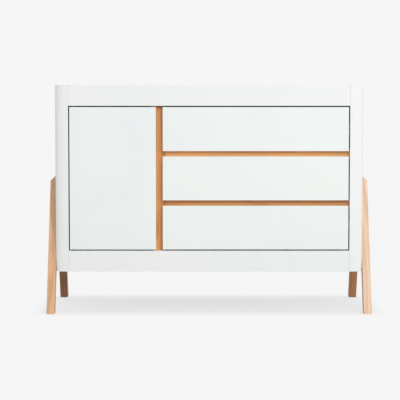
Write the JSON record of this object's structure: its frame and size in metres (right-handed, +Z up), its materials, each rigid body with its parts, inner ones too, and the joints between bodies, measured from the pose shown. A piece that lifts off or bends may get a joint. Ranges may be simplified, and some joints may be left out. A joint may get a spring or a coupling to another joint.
{
  "type": "baby dresser",
  "caption": "Low white nursery dresser with an inset door, inset drawers behind coved timber grips, and splayed timber legs fixed outside its ends.",
  "frame": {"origin": "on the floor, under the middle of the dresser", "axes": "+X to the right seen from the front, +Y to the back, +Z up; the front faces -Y"},
  "size_m": [1.3, 0.547, 0.915],
  "materials": {
    "white_lacquer": "satin white lacquer on board",
    "front_lacquer": "satin white lacquer on the door and drawer fronts",
    "leg_timber": "clear-oiled light solid timber",
    "grip_timber": "clear-oiled light solid timber, coved",
    "drawer_board": "white-faced drawer board",
    "back_board": "matt white thin board",
    "runner_steel": "zinc-plated sheet steel",
    "pivot_nylon": "natural nylon",
    "magnet": "plated magnet"
  },
  "bodies": {
    "cabinet": {"side_panel_left": "white_lacquer", "side_panel_right": "white_lacquer", "top_panel": "white_lacquer", "bottom_panel": "white_lacquer", "back_panel": "back_board", "top_front_rail": "white_lacquer", "bottom_front_rail": "white_lacquer", "divider_panel": "white_lacquer", "shelf": "white_lacquer", "upright_grip": "grip_timber", "level_grip_lower": "grip_timber", "level_grip_upper": "grip_timber", "catch_magnet": "magnet", "shelf_pin_left_front": "runner_steel", "shelf_pin_left_rear": "runner_steel", "shelf_pin_right_front": "runner_steel", "shelf_pin_right_rear": "runner_steel", "leg_front_left": "leg_timber", "leg_front_right": "leg_timber", "leg_rear_left": "leg_timber", "leg_rear_right": "leg_timber", "door_pivot_bush_lower": "pivot_nylon", "door_pivot_bush_upper": "pivot_nylon", "drawer_bottom_cabinet_runner_left": "runner_steel", "drawer_bottom_cabinet_runner_right": "runner_steel", "drawer_middle_cabinet_runner_left": "runner_steel", "drawer_middle_cabinet_runner_right": "runner_steel", "drawer_top_cabinet_runner_left": "runner_steel", "drawer_top_cabinet_runner_right": "runner_steel"},
    "door": {"door_panel": "front_lacquer", "door_pivot_pin_lower": "runner_steel", "door_pivot_pin_upper": "runner_steel", "door_strike_plate": "runner_steel"},
    "bottom_drawer": {"drawer_bottom_front": "front_lacquer", "drawer_bottom_side_left": "drawer_board", "drawer_bottom_side_right": "drawer_board", "drawer_bottom_back": "drawer_board", "drawer_bottom_bottom": "drawer_board", "drawer_bottom_drawer_runner_left": "runner_steel", "drawer_bottom_drawer_runner_right": "runner_steel"},
    "bottom_drawer_middle_runners": {"drawer_bottom_middle_runner_left": "runner_steel", "drawer_bottom_middle_runner_right": "runner_steel"},
    "middle_drawer": {"drawer_middle_front": "front_lacquer", "drawer_middle_side_left": "drawer_board", "drawer_middle_side_right": "drawer_board", "drawer_middle_back": "drawer_board", "drawer_middle_bottom": "drawer_board", "drawer_middle_drawer_runner_left": "runner_steel", "drawer_middle_drawer_runner_right": "runner_steel"},
    "middle_drawer_middle_runners": {"drawer_middle_middle_runner_left": "runner_steel", "drawer_middle_middle_runner_right": "runner_steel"},
    "top_drawer": {"drawer_top_front": "front_lacquer", "drawer_top_side_left": "drawer_board", "drawer_top_side_right": "drawer_board", "drawer_top_back": "drawer_board", "drawer_top_bottom": "drawer_board", "drawer_top_drawer_runner_left": "runner_steel", "drawer_top_drawer_runner_right": "runner_steel"},
    "top_drawer_middle_runners": {"drawer_top_middle_runner_left": "runner_steel", "drawer_top_middle_runner_right": "runner_steel"}
  },
  "joints": [
    {"name": "door_hinge", "type": "hinge", "parent": "cabinet", "child": "door", "pos_m": [-0.542, -0.216, 0.5405], "axis": [0, 0, -1], "range_deg": [0, 110]},
    {"name": "bottom_drawer_slide", "type": "slide", "parent": "cabinet", "child": "bottom_drawer", "axis": [0, -1, 0], "range_m": [0, 0.38]},
    {"name": "bottom_middle_runner_slide", "type": "slide", "parent": "cabinet", "child": "bottom_drawer_middle_runners", "axis": [0, -1, 0], "range_m": [0, 0.19]},
    {"name": "middle_drawer_slide", "type": "slide", "parent": "cabinet", "child": "middle_drawer", "axis": [0, -1, 0], "range_m": [0, 0.38]},
    {"name": "middle_middle_runner_slide", "type": "slide", "parent": "cabinet", "child": "middle_drawer_middle_runners", "axis": [0, -1, 0], "range_m": [0, 0.19]},
    {"name": "top_drawer_slide", "type": "slide", "parent": "cabinet", "child": "top_drawer", "axis": [0, -1, 0], "range_m": [0, 0.38]},
    {"name": "top_middle_runner_slide", "type": "slide", "parent": "cabinet", "child": "top_drawer_middle_runners", "axis": [0, -1, 0], "range_m": [0, 0.19]}
  ],
  "couplings": [
    {"joint": "bottom_middle_runner_slide", "follows": "bottom_drawer_slide", "ratio": 0.5},
    {"joint": "middle_middle_runner_slide", "follows": "middle_drawer_slide", "ratio": 0.5},
    {"joint": "top_middle_runner_slide", "follows": "top_drawer_slide", "ratio": 0.5}
  ]
}
